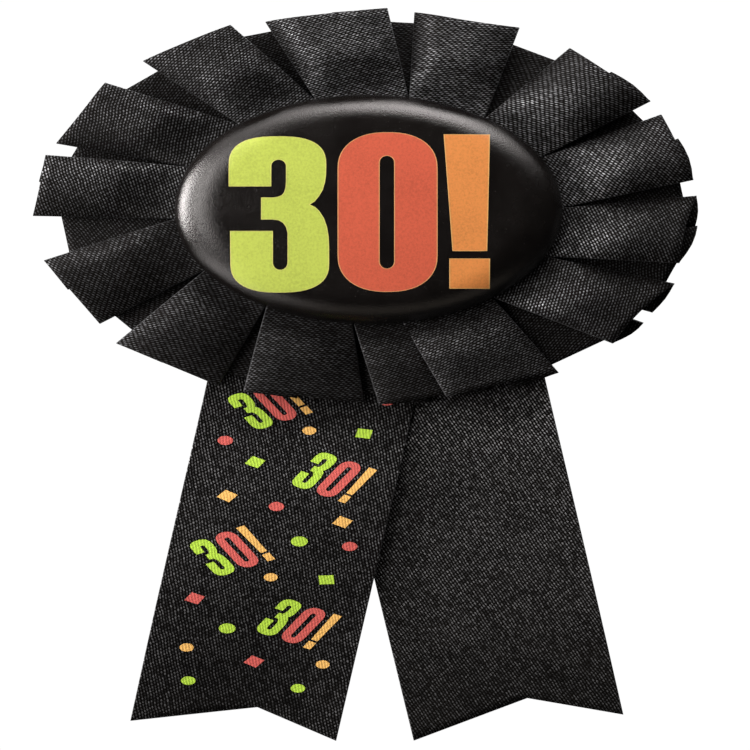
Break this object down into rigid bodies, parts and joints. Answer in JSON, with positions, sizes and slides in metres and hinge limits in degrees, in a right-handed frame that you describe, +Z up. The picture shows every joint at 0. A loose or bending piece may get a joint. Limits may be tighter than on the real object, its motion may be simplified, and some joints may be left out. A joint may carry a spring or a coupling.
{
  "type": "award ribbon",
  "caption": "Oval pleated black ribbon rosette with a domed button showing an age, two swallow-tailed ribbons hanging below it and a bar pin behind.",
  "frame": {"origin": "middle of the bar pin's length, at the height of its needle, on the plane of the backing card's rear face, where the garment lies", "axes": "-Y out of the button's face towards the viewer, +Z up, +X to the viewer's right"},
  "size_m": [0.1505, 0.0179, 0.1646],
  "materials": {
    "film": "clear satin film over black",
    "artwork_paper": "black print with coloured numerals",
    "tinplate": "bright tinned",
    "adhesive_foam": "soft foam",
    "black_ribbon": "ribbed satin weave",
    "printed_ribbon": "ribbed satin weave, printed",
    "thread": "spun thread",
    "card": "matt",
    "staple_wire": "galvanised",
    "plated_steel": "nickel plated"
  },
  "bodies": {
    "badge": {"button_film": "film", "button_artwork": "artwork_paper", "button_shell": "tinplate", "button_back": "tinplate", "button_glue_pad": "adhesive_foam", "rosette_ribbon": "black_ribbon", "gathering_thread": "thread", "core_card": "card", "backing_card": "card", "left_staple": "staple_wire", "right_staple": "staple_wire", "printed_tail_top": "printed_ribbon", "plain_tail_top": "black_ribbon", "pin_bar": "plated_steel", "hinge_rivet": "plated_steel", "pin_glue_pad": "adhesive_foam"},
    "front_tail": {"printed_tail": "printed_ribbon"},
    "rear_tail": {"plain_tail": "black_ribbon"},
    "needle": {"pin_needle": "plated_steel"},
    "catch": {"catch_sleeve": "plated_steel"}
  },
  "joints": [
    {"name": "front_tail_swing", "type": "hinge", "parent": "badge", "child": "front_tail", "pos_m": [-0.0141, -0.00272, -0.0572], "axis": [-1, 0, 0], "range_deg": [0, 75]},
    {"name": "rear_tail_swing", "type": "hinge", "parent": "badge", "child": "rear_tail", "pos_m": [0.0167, -0.00208, -0.0572], "axis": [1, 0, 0], "range_deg": [0, 75]},
    {"name": "needle_hinge", "type": "hinge", "parent": "badge", "child": "needle", "pos_m": [0.017, 0.0022, 0], "axis": [0, 0, -1], "range_deg": [0, 100]},
    {"name": "catch_lock", "type": "hinge", "parent": "badge", "child": "catch", "pos_m": [-0.0146, 0.0022, 0], "axis": [1, 0, 0], "range_deg": [0, 90]}
  ]
}
